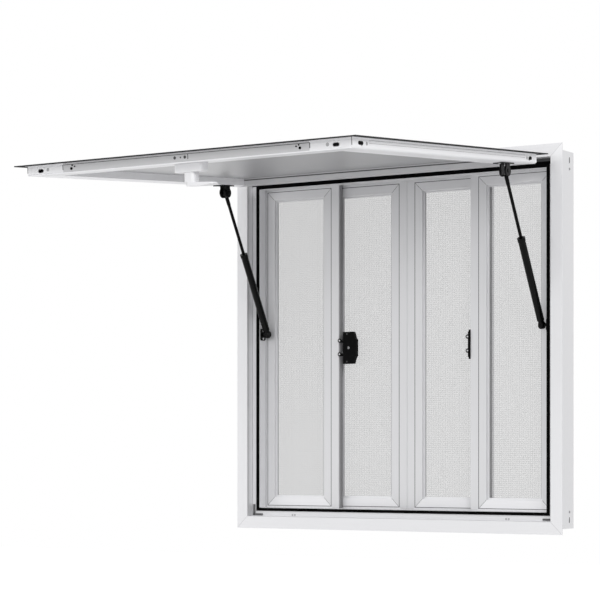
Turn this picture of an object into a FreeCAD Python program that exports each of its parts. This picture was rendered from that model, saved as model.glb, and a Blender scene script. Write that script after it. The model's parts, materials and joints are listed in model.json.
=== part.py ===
import FreeCAD, Part
import math
import os

import Sketcher
from FreeCAD import Placement, Rotation, Vector

# A serving window for a food trailer: a flanged aluminium frame, four sliding insect screens
# and an awning door that hangs from a hinge over the opening and is held up by two gas struts.
# +X is to the right, +Y goes into the wall and +Z is up. The origin lies on the back face of
# the flange, in the middle of its bottom strip. Every depth is counted from the flange's front.

SIZES = {
    # main frame
    "frame_width": 914,
    "frame_height": 914,
    "flange_face": 30,
    "flange_thick": 3,
    "flange_lap": 13,
    "wall": 2.5,
    "recess_depth": 25,
    "stop_width": 22,
    "fin_drop": 2,
    "slot_width": 4,
    "slot_length": 14,
    "slot_depth": 67,
    "slot_end": 33,
    # seal on the stop
    "seal_width": 7.5,
    "seal_height": 3,
    "seal_inset": 1,
    # sliding screens
    "sash_setback": 55,
    "sash_thick": 12,
    "track_gap": 1.85,
    "sash_play": 5,
    "sash_overlap": 48.3,
    "meeting_gap": 0.6,
    "stile_face": 43,
    "sash_wall": 1.5,
    "groove_at": 22,
    "groove_width": 1.2,
    "groove_depth": 0.8,
    "bead_width": 5,
    "bead_setback": 6,
    "bead_thick": 3,
    "mesh_thick": 0.6,
    "mesh_lap": 4,
    "mesh_pitch": 72,
    "mesh_bar": 1.6,
    "glide_length": 30,
    "glide_width": 8,
    "glide_inset": 25,
    # screen latches
    "latch_height": 80,
    "latch_width": 38,
    "latch_thick": 12,
    "latch_stand": 14,
    "latch_proud": 3,
    "latch_drop": 3,
    "latch_taper": 17,
    "latch_step": 8,
    "latch_ear": 2.5,
    "latch_arm": 7,
    "latch_arm_pitch": 34,
    "latch_button": 8,
    "latch_button_rise": 1.5,
    "keeper_height": 62,
    "keeper_stand": 6,
    "keeper_thick": 8,
    "keeper_arm": 9,
    # awning door
    "door_lap": 11,
    "door_top_drop": 27,
    "door_gap": 5,
    "skin_thick": 2,
    "door_lip": 20.5,
    "rail_width": 56,
    "rail_depth": 22,
    "rail_wall": 2,
    "rail_edge": 3,
    "rail_line": 5,
    "rail_line_width": 1,
    "rail_line_depth": 0.8,
    "rail_hole_end": 37.5,
    "rail_hole_depth": 12.5,
    "rail_hole": 8,
    "rail_slot_length": 16,
    "channel_end": 100,
    "channel_depth": 1.2,
    "channel_low": 7,
    "channel_high": 17.5,
    "panel_thick": 6,
    "open_angle": 85.77,
    # hinge
    "hinge_out": 20.8,
    "hinge_drop": 12.4,
    "hinge_length": 600,
    "hinge_plate": 2.5,
    "hinge_leaf": 20,
    "hinge_web": 3,
    "knuckle": 10,
    "knuckle_gap": 1,
    "hinge_pin": 5,
    "pin_play": 0.1,
    # gas struts
    "strut_inset": 17.4,
    "strut_setback": 35,
    "strut_foot_drop": 421,
    "strut_head_drop": 151,
    "tube_diameter": 15,
    "tube_length": 225,
    "rod_diameter": 6,
    "rod_play": 0.1,
    "rod_hold": 20,
    "rod_short": 11,
    "rod_collar": 9.2,
    "rod_collar_length": 22,
    "socket_diameter": 19,
    "socket_length": 14,
    "socket_edge": 2.5,
    "socket_neck": 14,
    "tube_start": 13,
    "bore_start": 60,
    "tube_cap": 16.4,
    "tube_cap_length": 9,
    "stud_diameter": 8,
    "stud_play": 0.1,
    "stud_grip": 4,
    "stud_end_gap": 1,
    "foot_plate": 3,
    "foot_length": 30,
    "foot_width": 20,
    "foot_round": 5,
    "foot_shift": 2.5,
    "head_plate": 2.5,
    "head_length": 79,
    "head_width": 28,
    "fork_slot": 10,
    "fork_ear": 4,
    "fork_diameter": 26,
    "fork_neck": 18,
    "fork_boss": 9,
    "fork_boss_rise": 1.5,
    # turn latch
    "turn_setback": 54.3,
    "turn_base_length": 83,
    "turn_base_width": 28,
    "turn_base_thick": 18.5,
    "turn_gap": 0.3,
    "turn_base_round": 5,
    "turn_post_width": 32,
    "turn_post_round": 9,
    "turn_post_height": 21,
    "turn_lever_length": 64,
    "turn_lever_back": 14,
    "turn_lever_width": 26,
    "turn_lever_thick": 8,
    "turn_lever_tip": 2.5,
}

# Sizes that follow from the ones above.
DERIVED = {
    "jamb_reach": "flange_face + stop_width",
    "fin_reach": "jamb_reach - fin_drop",
    "front_track": "sash_setback - track_gap",
    "fin_front": "sash_setback + sash_thick + track_gap",
    "fin_back": "fin_front + wall",
    "rear_setback": "fin_back + track_gap",
    "rear_track": "rear_setback + sash_thick + track_gap",
    "frame_depth": "rear_track + wall",
    "opening_width": "frame_width - 2 * flange_face",
    "sash_width": "(opening_width / 2 - sash_play + sash_overlap - meeting_gap / 2) / 2",
    "sash_height": "frame_height - 2 * flange_face - 2 * sash_play",
    "sash_reach": "stile_face + bead_width",
    "mesh_setback": "bead_setback + bead_thick",
    "groove_left": "groove_at - groove_width / 2",
    "groove_right": "groove_at + groove_width / 2",
    "seal_outer_width": "frame_width - 2 * (jamb_reach - seal_inset - seal_width)",
    "seal_outer_height": "frame_height - 2 * (jamb_reach - seal_inset - seal_width)",
    "seal_inner_width": "frame_width - 2 * (jamb_reach - seal_inset)",
    "seal_inner_height": "frame_height - 2 * (jamb_reach - seal_inset)",
    "mesh_inset": "sash_reach - mesh_lap",
    "mesh_width": "sash_width - 2 * mesh_inset",
    "mesh_height": "sash_height - 2 * mesh_inset",
    "mesh_across": "mesh_width - 2 * mesh_lap + mesh_bar",
    "mesh_up": "mesh_height - 2 * mesh_lap + mesh_bar",
    "mesh_columns": "round(mesh_across / mesh_pitch)",
    "mesh_rows": "round(mesh_up / mesh_pitch)",
    "mesh_column": "mesh_across / mesh_columns",
    "mesh_row": "mesh_up / mesh_rows",
    "door_width": "opening_width + 2 * door_lap",
    "door_height": "frame_height - flange_face + door_lap - door_top_drop",
    "rails_width": "door_width - 2 * door_lip",
    "rails_height": "door_height - 2 * door_lip",
    "panel_width": "rails_width - 2 * rail_width",
    "panel_height": "rails_height - 2 * rail_width",
    "knuckle_length": "hinge_length / 5",
    "door_arm_out": "hinge_out - door_gap - skin_thick",
    "door_arm_up": "door_top_drop - hinge_drop",
    "latch_middle": "frame_height / 2 - latch_drop",
    "strut_foot_height": "frame_height - strut_foot_drop",
    "strut_head_height": "frame_height - strut_head_drop",
    "fork_reach": "strut_setback - rail_depth + door_gap",
    "rail_line_near": "rail_line - rail_line_width / 2",
    "rail_line_far": "rail_line + rail_line_width / 2",
    "rail_face": "rail_depth - rail_edge",
}

doc = FreeCAD.newDocument("concession_window")
sheet = doc.addObject("Spreadsheet::Sheet", "Sizes")
cells = list(SIZES.items()) + [(name, "=" + rule) for name, rule in DERIVED.items()]
for row, (name, content) in enumerate(cells, 1):
    sheet.set("A%d" % row, name)
    sheet.set("B%d" % row, str(content))
    sheet.setAlias("B%d" % row, name)
doc.recompute()
size = {name: float(sheet.get(name)) for name, content in cells}
nodes = []


def amount(text):
    """Number that a plain sum of named sizes stands for."""
    total = 0.0
    sign = 1
    for word in text.split():
        if word in ("+", "-"):
            sign = 1 if word == "+" else -1
        else:
            name, slash, divisor = word.partition("/")
            number = size[name] if name in size else float(name)
            total += sign * number / float(divisor or 1)
    return total


def formula(text):
    """The same sum, written for the spreadsheet's cells."""
    words = []
    for word in text.split():
        known = word.partition("/")[0] in size
        words.append("Sizes." + word if known else word)
    return " ".join(words)


def bind(item, **sums):
    for name, text in sums.items():
        item.setExpression(name, formula(text))


def blank(body, role, name):
    """Empty sketch on one of the body's own planes."""
    plane = next(feature for feature in body.Origin.OriginFeatures if feature.Role == role)
    drawing = body.newObject("Sketcher::SketchObject", name)
    drawing.AttachmentSupport = [(plane, "")]
    drawing.MapMode = "FlatFace"
    return drawing


def hold(drawing, text, kind, *places):
    """Dimension in a sketch that follows a sum of sizes."""
    index = drawing.addConstraint(Sketcher.Constraint(kind, *places, amount(text)))
    drawing.setExpression("Constraints[%d]" % index, formula(text))


def sketch(body, role, loops, name):
    """Closed outlines, each corner held by two sizes."""
    drawing = blank(body, role, name)
    for corners in loops:
        first = drawing.GeometryCount
        points = [Vector(amount(across), amount(up), 0) for across, up in corners]
        for start, end in zip(points, points[1:] + points[:1]):
            drawing.addGeometry(Part.LineSegment(start, end))
        for i, (across, up) in enumerate(corners):
            follower = first + (i + 1) % len(corners)
            drawing.addConstraint(Sketcher.Constraint("Coincident", first + i, 2, follower, 1))
            for kind, axis, text in (("DistanceX", -2, across), ("DistanceY", -1, up)):
                if text == "0":
                    drawing.addConstraint(Sketcher.Constraint("PointOnObject", first + i, 1, axis))
                else:
                    hold(drawing, text, kind, -1, 1, first + i, 1)
    return drawing


def pad(body, drawing, length, name):
    feature = body.newObject("PartDesign::Pad", name)
    feature.Profile = drawing
    bind(feature, Length=length)
    return feature


def pocket(body, drawing, length, name):
    feature = body.newObject("PartDesign::Pocket", name)
    feature.Profile = drawing
    bind(feature, Length=length)
    return feature


def round_hole(drawing, across, up, width):
    circle = Part.Circle(Vector(amount(across), amount(up), 0), Vector(0, 0, 1), amount(width + "/2"))
    hole = drawing.addGeometry(circle)
    hold(drawing, across, "DistanceX", -1, 1, hole, 3)
    hold(drawing, up, "DistanceY", -1, 1, hole, 3)
    hold(drawing, width + "/2", "Radius", hole)


def slot_hole(drawing, across, up, width, span):
    """Slot with round ends: two arcs joined by two lines that touch them."""
    shift = " %s " + span + "/2 %s " + width + "/2"
    ends = [across + shift % ("-", "+"), across + shift % ("+", "-")]
    radius = amount(width + "/2")
    height = amount(up)
    left, right = (amount(end) for end in ends)
    quarter = math.pi / 2
    first = drawing.GeometryCount
    for middle, start in ((left, quarter), (right, -quarter)):
        circle = Part.Circle(Vector(middle, height, 0), Vector(0, 0, 1), radius)
        drawing.addGeometry(Part.ArcOfCircle(circle, start, start + math.pi))
    low = height - radius
    high = height + radius
    drawing.addGeometry(Part.LineSegment(Vector(left, low, 0), Vector(right, low, 0)))
    drawing.addGeometry(Part.LineSegment(Vector(right, high, 0), Vector(left, high, 0)))
    for one, other in ((0, 2), (2, 1), (1, 3), (3, 0)):
        drawing.addConstraint(Sketcher.Constraint("Tangent", first + one, 2, first + other, 1))
    drawing.addConstraint(Sketcher.Constraint("Equal", first, first + 1))
    hold(drawing, width + "/2", "Radius", first)
    for i, end in enumerate(ends):
        hold(drawing, end, "DistanceX", -1, 1, first + i, 3)
        hold(drawing, up, "DistanceY", -1, 1, first + i, 3)


def node(item, label):
    """Register a finished sub-part under the name of its file."""
    item.Label = label
    nodes.append(item)
    return item


def mitred_bar(label, loops, length, reach):
    """A bar of one section with both ends cut at 45 degrees. It runs along local X, its section
    reaches inwards along Y and its depth goes along Z."""
    body = doc.addObject("PartDesign::Body", label)
    pad(body, sketch(body, "YZ_Plane", loops, label + "_section"), length, label + "_bar")
    ends = [
        [("0", "0"), (reach, reach), ("0", reach)],
        [(length, "0"), (length, reach), (length + " - " + reach, reach)],
    ]
    mitre = body.newObject("PartDesign::Pocket", label + "_mitre")
    mitre.Profile = sketch(body, "XY_Plane", ends, label + "_ends")
    mitre.Type = "ThroughAll"
    mitre.Reversed = True
    return node(body, label)


def ring(names, loops, width, height, reach, left, bottom, depth):
    """Four mitred bars round a rectangle: left side, top, right side, bottom."""
    right = left + amount(width)
    top = bottom + amount(height)
    upright = Rotation(Vector(0, 0, 1), Vector(1, 0, 0), Vector(0, 1, 0), "XYZ")
    corners = [(left, bottom), (left, top), (right, top), (right, bottom)]
    bars = []
    for i, (name, (x, z)) in enumerate(zip(names, corners)):
        bar = mitred_bar(name, loops, height if i % 2 == 0 else width, reach)
        turn = Rotation(Vector(0, 1, 0), 90 * i)
        bar.Placement = Placement(Vector(x, depth, z), turn * upright)
        bars.append(bar)
    return bars


def box(label, length, width, height, corner):
    item = doc.addObject("Part::Box", label)
    bind(item, Length=length, Width=width, Height=height)
    item.Placement = Placement(Vector(*corner), Rotation())
    return item


def cylinder(label, radius, height, base, direction):
    item = doc.addObject("Part::Cylinder", label)
    bind(item, Radius=radius, Height=height)
    item.Placement = Placement(Vector(*base), Rotation(Vector(0, 0, 1), Vector(*direction)))
    return item


def turned(label, outline, corner):
    """Solid of revolution about X, from an outline of lengths along X and radii."""
    body = doc.addObject("PartDesign::Body", label)
    drawing = sketch(body, "XY_Plane", [outline], label + "_outline")
    feature = body.newObject("PartDesign::Revolution", label + "_turn")
    feature.Profile = drawing
    feature.ReferenceAxis = (drawing, ["H_Axis"])
    body.Placement = Placement(Vector(*corner), Rotation())
    return body


def rounded(label, base, axis, radius):
    """Fillet on the edges that run along one axis."""
    doc.recompute()
    item = doc.addObject("Part::Fillet", label)
    item.Base = base
    chosen = []
    for i, edge in enumerate(base.Shape.Edges, 1):
        if abs(edge.tangentAt(edge.FirstParameter).dot(Vector(*axis))) > 0.99:
            chosen.append((i, size[radius], size[radius]))
    item.Edges = chosen
    return item


def fuse(label, shapes):
    item = doc.addObject("Part::MultiFuse", label)
    item.Shapes = shapes
    return item


def common(label, shapes):
    item = doc.addObject("Part::MultiCommon", label)
    item.Shapes = shapes
    return item


def cut(label, base, tool):
    item = doc.addObject("Part::Cut", label)
    item.Base = base
    item.Tool = tool
    return item


def compound(label, shapes):
    item = doc.addObject("Part::Compound", label)
    item.Links = shapes
    return item


# Places that the pieces share.
front = -size["flange_thick"]
left_edge = -size["frame_width"] / 2
bottom_edge = -size["flange_lap"] / 2
top_edge = bottom_edge + size["frame_height"]
jamb = size["frame_width"] / 2 - size["jamb_reach"]


# Main frame: four hollow bars with a flange, a recess for the door, a stop and two tracks.
frame_outline = [
    ("0", "0"),
    ("flange_face", "0"),
    ("flange_face", "recess_depth"),
    ("jamb_reach", "recess_depth"),
    ("jamb_reach", "front_track"),
    ("flange_face", "front_track"),
    ("flange_face", "fin_front"),
    ("fin_reach", "fin_front"),
    ("fin_reach", "fin_back"),
    ("flange_face", "fin_back"),
    ("flange_face", "rear_track"),
    ("fin_reach", "rear_track"),
    ("fin_reach", "frame_depth"),
    ("flange_lap", "frame_depth"),
    ("flange_lap", "flange_thick"),
    ("0", "flange_thick"),
]
frame_chamber = [
    ("flange_lap + wall", "flange_thick"),
    ("flange_face - wall", "flange_thick"),
    ("flange_face - wall", "recess_depth + wall"),
    ("jamb_reach - wall", "recess_depth + wall"),
    ("jamb_reach - wall", "front_track - wall"),
    ("flange_face - wall", "front_track - wall"),
    ("flange_face - wall", "rear_track"),
    ("flange_lap + wall", "rear_track"),
]
frame_bars = ring(
    ["frame_left", "frame_head", "frame_right", "frame_sill"],
    [frame_outline, frame_chamber],
    "frame_width",
    "frame_height",
    "jamb_reach",
    left_edge,
    bottom_edge,
    front,
)

# Slotted fixing holes near both ends of the side bars, through the outer wall only.
for bar in (frame_bars[0], frame_bars[2]):
    drawing = blank(bar, "XZ_Plane", bar.Label + "_slot_outline")
    for across in ("slot_end", "frame_height - slot_end"):
        slot_hole(drawing, across, "slot_depth", "slot_width", "slot_length")
    pocket(bar, drawing, "flange_lap + wall + wall", bar.Label + "_slots")

# Rubber seal that lies on the stop all round the opening.
seal_back = front + size["recess_depth"]
seal_front = seal_back - size["seal_height"]
seal_parts = []
for part_name, width, height in (
    ("seal_block", "seal_outer_width", "seal_outer_height"),
    ("seal_opening", "seal_inner_width", "seal_inner_height"),
):
    low = bottom_edge + (size["frame_height"] - size[height]) / 2
    corner = (-size[width] / 2, seal_front, low)
    seal_parts.append(box(part_name, width, "seal_height", height, corner))
node(cut("seal_ring", *seal_parts), "door_seal")


# Sliding screens: the outer two run in the front track, the middle two in the rear track.
sash_outline = [
    ("0", "0"),
    ("groove_left", "0"),
    ("groove_at", "groove_depth"),
    ("groove_right", "0"),
    ("stile_face", "0"),
    ("stile_face", "bead_setback"),
    ("sash_reach", "bead_setback"),
    ("sash_reach", "mesh_setback"),
    ("stile_face", "mesh_setback"),
    ("stile_face", "sash_thick"),
    ("0", "sash_thick"),
]
sash_chamber = [
    ("sash_wall", "groove_depth + sash_wall"),
    ("stile_face - sash_wall", "groove_depth + sash_wall"),
    ("stile_face - sash_wall", "sash_thick - sash_wall"),
    ("sash_wall", "sash_thick - sash_wall"),
]
sash_bottom = bottom_edge + size["flange_face"] + size["sash_play"]
front_sash = front + size["sash_setback"]
rear_sash = front + size["rear_setback"]
sash_outer = -size["opening_width"] / 2 + size["sash_play"]
sash_inner = -size["meeting_gap"] / 2 - size["sash_width"]
sashes = [
    ("sash_1", sash_outer, front_sash),
    ("sash_2", sash_inner, rear_sash),
    ("sash_3", -sash_inner - size["sash_width"], rear_sash),
    ("sash_4", -sash_outer - size["sash_width"], front_sash),
]
glides = []


def screen_sheet(label, corner):
    """Insect screen: a thin sheet with rows and columns of openings."""
    body = doc.addObject("PartDesign::Body", label + "_sheet")
    edge = [("0", "0"), ("mesh_width", "0"), ("mesh_width", "mesh_height"), ("0", "mesh_height")]
    sheet_pad = pad(body, sketch(body, "XZ_Plane", [edge], label + "_edge"), "mesh_thick", label + "_pad")
    sheet_pad.Reversed = True
    right = "mesh_lap + mesh_column - mesh_bar"
    top = "mesh_lap + mesh_row - mesh_bar"
    opening = [("mesh_lap", "mesh_lap"), (right, "mesh_lap"), (right, top), ("mesh_lap", top)]
    drawing = sketch(body, "XZ_Plane", [opening], label + "_opening")
    first = pocket(body, drawing, "mesh_thick", label + "_first")
    pattern = body.newObject("PartDesign::LinearPattern", label + "_grid")
    pattern.Originals = [first]
    pattern.Direction = (drawing, ["H_Axis"])
    pattern.Direction2 = (drawing, ["V_Axis"])
    bind(pattern, Length="mesh_across - mesh_column", Occurrences="mesh_columns")
    bind(pattern, Length2="mesh_up - mesh_row", Occurrences2="mesh_rows")
    body.Tip = pattern
    body.Placement = Placement(Vector(*corner), Rotation())
    return node(body, label)


for name, x, y in sashes:
    ring(
        [name + "_left_stile", name + "_top_rail", name + "_right_stile", name + "_bottom_rail"],
        [sash_outline, sash_chamber],
        "sash_width",
        "sash_height",
        "sash_reach",
        x,
        sash_bottom,
        y,
    )
    inset = size["mesh_inset"]
    corner = (x + inset, y + size["mesh_setback"], sash_bottom + inset)
    screen_sheet(name + "_screen", corner)
    far = size["sash_width"] - size["glide_inset"] - size["glide_length"]
    for i, along in enumerate((size["glide_inset"], far)):
        across = y + (size["sash_thick"] - size["glide_width"]) / 2
        corner = (x + along, across, sash_bottom - size["sash_play"])
        label = "%s_glide_%d" % (name, i + 1)
        glides.append(box(label, "glide_length", "glide_width", "sash_play", corner))
node(compound("glide_set", glides), "sash_glides")

# Black latch on the edge of the left outer screen, and its slim keeper on the right one.
latch_y = front_sash - size["latch_proud"]
latch_z = bottom_edge + size["latch_middle"]
latch_x = sash_outer + size["sash_width"]


def latch_arms(label, arm_left, arm_length):
    """Two flat arms that lie on the face of the screen's stile."""
    pieces = []
    for side in (-1, 1):
        arm_low = latch_z + side * size["latch_arm_pitch"] / 2 - size["latch_arm"] / 2
        corner = (arm_left, latch_y, arm_low)
        name = label + ("_high_arm" if side > 0 else "_low_arm")
        pieces.append(box(name, arm_length, "latch_proud", "latch_arm", corner))
    return pieces


grip = doc.addObject("PartDesign::Body", "latch_grip")
grip_outline = [
    ("0", "0"),
    ("latch_width - latch_step", "0"),
    ("latch_width - latch_ear", "latch_taper"),
    ("latch_width", "latch_taper + latch_ear"),
    ("latch_width", "latch_height - latch_taper - latch_ear"),
    ("latch_width - latch_ear", "latch_height - latch_taper"),
    ("latch_width - latch_step", "latch_height"),
    ("0", "latch_height"),
]
grip_drawing = sketch(grip, "XZ_Plane", [grip_outline], "latch_grip_outline")
grip_pad = pad(grip, grip_drawing, "latch_thick", "latch_grip_block")
grip_pad.Reversed = True
grip_left = latch_x + size["latch_stand"]
grip_corner = Vector(grip_left, latch_y, latch_z - size["latch_height"] / 2)
grip.Placement = Placement(grip_corner, Rotation())
button_x = grip_left + size["latch_step"] + size["latch_ear"]
button_y = latch_y - size["latch_button_rise"]
button = cylinder(
    "latch_button", "latch_button/2", "latch_thick", (button_x, button_y, latch_z), (0, 1, 0)
)
arms = latch_arms("latch", latch_x - size["latch_step"], "latch_step + latch_stand + latch_width/2")
node(fuse("latch_set", arms + [grip, button]), "sash_latch")

keeper_low = latch_z - size["keeper_height"] / 2
keeper_corner = (-latch_x - size["keeper_stand"], latch_y, keeper_low)
keeper_plate = box("keeper_plate", "keeper_stand", "keeper_thick", "keeper_height", keeper_corner)
keeper_left = keeper_corner[0] - size["keeper_arm"]
arms = latch_arms("keeper", keeper_left, "keeper_arm + keeper_stand")
node(fuse("keeper_set", arms + [keeper_plate]), "sash_keeper")


# Awning door, laid out as it hangs when shut and then swung open about the hinge.
pivot_y = front - size["hinge_out"]
pivot_z = top_edge - size["hinge_drop"]
swing = Placement(
    Vector(0, 0, 0),
    Rotation(Vector(1, 0, 0), -size["open_angle"]),
    Vector(0, pivot_y, pivot_z),
)
door_items = []
skin_back = front - size["door_gap"]
skin_front = skin_back - size["skin_thick"]
skin_low = bottom_edge + size["flange_face"] - size["door_lap"]
skin_top = skin_low + size["door_height"]
skin_corner = (-size["door_width"] / 2, skin_front, skin_low)
skin = box("door_sheet", "door_width", "skin_thick", "door_height", skin_corner)
door_items.append(node(skin, "door_skin"))
rail_outline = [
    ("0", "0"),
    ("rail_width", "0"),
    ("rail_width", "rail_depth"),
    ("rail_edge", "rail_depth"),
    ("0", "rail_face"),
    ("0", "rail_line_far"),
    ("rail_line_depth", "rail_line"),
    ("0", "rail_line_near"),
]
rail_chamber = [
    ("rail_wall", "rail_wall"),
    ("rail_width - rail_wall", "rail_wall"),
    ("rail_width - rail_wall", "rail_depth - rail_wall"),
    ("rail_wall", "rail_depth - rail_wall"),
]
rails_left = -size["rails_width"] / 2
rails_low = skin_low + size["door_lip"]
rails = ring(
    ["door_rail_left", "door_rail_top", "door_rail_right", "door_rail_bottom"],
    [rail_outline, rail_chamber],
    "rails_width",
    "rails_height",
    "rail_width",
    rails_left,
    rails_low,
    skin_back,
)
door_items += rails

# Holes near the ends of the rails, and the channel along the outside of the front one.
for i, rail in enumerate(rails):
    length = "rails_height" if i % 2 == 0 else "rails_width"
    drawing = blank(rail, "XZ_Plane", rail.Label + "_hole_outline")
    for across in ("rail_hole_end", length + " - rail_hole_end"):
        if i % 2 == 0:
            round_hole(drawing, across, "rail_hole_depth", "rail_hole")
        else:
            slot_hole(drawing, across, "rail_hole_depth", "rail_hole", "rail_slot_length")
    pocket(rail, drawing, "rail_wall + rail_wall", rail.Label + "_holes")
channel_outline = [
    ("channel_end", "channel_low"),
    ("rails_width - channel_end", "channel_low"),
    ("rails_width - channel_end", "channel_high"),
    ("channel_end", "channel_high"),
]
channel_drawing = sketch(rails[3], "XZ_Plane", [channel_outline], "channel_outline")
pocket(rails[3], channel_drawing, "channel_depth", "channel")
panel_corner = (-size["panel_width"] / 2, skin_back, rails_low + size["rail_width"])
panel = box("door_board", "panel_width", "panel_thick", "panel_height", panel_corner)
door_items.append(node(panel, "door_panel"))


# Hinge of five knuckles: two belong to the door, three to the frame.
def hinge_leaf(label, outline, owned):
    """Bent leaf with barrels at its own knuckles and room left for the other leaf's."""
    body = doc.addObject("PartDesign::Body", label + "_bend")
    pad(body, sketch(body, "YZ_Plane", [outline], label + "_outline"), "hinge_length", label + "_strip")
    barrels = []
    rooms = []
    for i in range(5):
        start = -size["hinge_length"] / 2 + i * size["knuckle_length"]
        if i in owned:
            barrel = cylinder(
                "%s_barrel_%d" % (label, i + 1),
                "knuckle/2",
                "knuckle_length - knuckle_gap",
                (start + size["knuckle_gap"] / 2, pivot_y, pivot_z),
                (1, 0, 0),
            )
            barrels.append(barrel)
        else:
            room = cylinder(
                "%s_room_%d" % (label, i + 1),
                "knuckle/2 + knuckle_gap",
                "knuckle_length + knuckle_gap",
                (start - size["knuckle_gap"] / 2, pivot_y, pivot_z),
                (1, 0, 0),
            )
            rooms.append(room)
    hole = cylinder(
        label + "_bore",
        "hinge_pin/2 + pin_play",
        "hinge_length",
        (-size["hinge_length"] / 2, pivot_y, pivot_z),
        (1, 0, 0),
    )
    notched = cut(label + "_notched", body, fuse(label + "_rooms", rooms))
    joined = fuse(label + "_joined", [notched] + barrels)
    return body, cut(label + "_bored", joined, hole)


# The frame leaf lies on the top flange and its web stands out to the pin.
frame_leaf_outline = [
    ("0", "0"),
    ("hinge_plate", "0"),
    ("hinge_plate", "hinge_leaf/2 - hinge_web/2"),
    ("hinge_out", "hinge_leaf/2 - hinge_web/2"),
    ("hinge_out", "hinge_leaf/2 + hinge_web/2"),
    ("hinge_plate", "hinge_leaf/2 + hinge_web/2"),
    ("hinge_plate", "hinge_leaf"),
    ("0", "hinge_leaf"),
]
frame_bend, frame_leaf = hinge_leaf("frame_leaf", frame_leaf_outline, (0, 2, 4))
frame_bend.Placement = Placement(
    Vector(size["hinge_length"] / 2, front, pivot_z - size["hinge_leaf"] / 2),
    Rotation(Vector(0, 0, 1), 180),
)
node(frame_leaf, "hinge_frame_leaf")

# The door leaf lies on the front of the skin and its arm reaches up and out to the pin.
door_leaf_outline = [
    ("0", "0"),
    ("hinge_plate", "0"),
    ("hinge_plate", "hinge_leaf - hinge_web"),
    ("door_arm_out", "hinge_leaf + door_arm_up - hinge_web"),
    ("door_arm_out", "hinge_leaf + door_arm_up"),
    ("0", "hinge_leaf"),
]
door_bend, door_leaf = hinge_leaf("door_leaf", door_leaf_outline, (1, 3))
door_bend.Placement = Placement(
    Vector(size["hinge_length"] / 2, skin_front, skin_top - size["hinge_leaf"]),
    Rotation(Vector(0, 0, 1), 180),
)
door_items.append(node(door_leaf, "hinge_door_leaf"))
pin_base = (-size["hinge_length"] / 2, pivot_y, pivot_z)
pin = cylinder("hinge_rod", "hinge_pin/2", "hinge_length", pin_base, (1, 0, 0))
node(pin, "hinge_pin")


# Turn latch on the bottom rail: a base block, and a tapered lever on a post that turns.
turn_y = skin_back + size["rail_depth"]
turn_z = skin_low + size["turn_setback"]
base_corner = (-size["turn_base_length"] / 2, turn_y, turn_z - size["turn_base_width"] / 2)
block = box("turn_block", "turn_base_length", "turn_base_thick", "turn_base_width", base_corner)
base = rounded("turn_block_round", block, (0, 1, 0), "turn_base_round")
door_items.append(node(base, "turn_latch_base"))
handle_y = turn_y + size["turn_base_thick"] + size["turn_gap"]
post_corner = (-size["turn_post_width"] / 2, handle_y, turn_z - size["turn_lever_width"] / 2)
post = box("turn_post", "turn_post_width", "turn_post_height", "turn_lever_width", post_corner)
post_round = rounded("turn_post_round", post, (0, 1, 0), "turn_post_round")
lever_y = handle_y + size["turn_post_height"]
half_width = size["turn_lever_width"] / 2
lever_ends = [-size["turn_lever_back"] + half_width, size["turn_lever_length"] - half_width]
lever_corner = (lever_ends[0], lever_y, turn_z - half_width)
plan_length = "turn_lever_length + turn_lever_back - turn_lever_width"
plan = [box("lever_plan", plan_length, "turn_lever_thick", "turn_lever_width", lever_corner)]
for name, x in zip(("lever_heel", "lever_toe"), lever_ends):
    plan.append(cylinder(name, "turn_lever_width/2", "turn_lever_thick", (x, lever_y, turn_z), (0, 1, 0)))
hull = doc.addObject("PartDesign::Body", "lever_hull")
hull_outline = [
    ("0", "0"),
    ("turn_lever_length + turn_lever_back", "0"),
    ("turn_lever_length + turn_lever_back", "turn_lever_tip"),
    ("turn_lever_length/2 + turn_lever_back", "turn_lever_thick"),
    ("turn_lever_back/2", "turn_lever_thick"),
    ("0", "turn_lever_tip"),
]
hull_drawing = sketch(hull, "XY_Plane", [hull_outline], "lever_hull_outline")
pad(hull, hull_drawing, "turn_lever_width", "lever_hull_bar")
hull_corner = Vector(-size["turn_lever_back"], lever_y, turn_z - half_width)
hull.Placement = Placement(hull_corner, Rotation())
lever = common("turn_lever", [fuse("lever_outline", plan), hull])
handle = node(fuse("turn_set", [post_round, lever]), "turn_latch_handle")


# Gas struts: foot stud on the jamb, tube, rod, and a forked bracket on the door's side rail.
strut_x = jamb - size["strut_inset"]
strut_y = front + size["strut_setback"]
rail_back = skin_back + size["rail_depth"]
foot = Vector(0, strut_y, bottom_edge + size["strut_foot_height"])
head_shut = Vector(0, strut_y, bottom_edge + size["strut_head_height"])
head = swing.multVec(head_shut)
lean = Rotation(Vector(0, 0, 1), head - foot)
length_row = len(cells) + 1
sheet.set("A%d" % length_row, "strut_length")
sheet.set("B%d" % length_row, str(round((head - foot).Length, 4)))
sheet.setAlias("B%d" % length_row, "strut_length")
doc.recompute()
size["strut_length"] = float(sheet.get("strut_length"))


def along(item, place, distance):
    """Set a piece on the strut's own line, a distance up from its foot."""
    item.Placement = place.multiply(Placement(Vector(0, 0, distance), Rotation()))
    return item


socket_outline = [
    ("0", "0"),
    ("socket_length", "0"),
    ("socket_length", "socket_diameter/2 - socket_edge"),
    ("socket_length - socket_edge", "socket_diameter/2"),
    ("socket_edge", "socket_diameter/2"),
    ("0", "socket_diameter/2 - socket_edge"),
]


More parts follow.
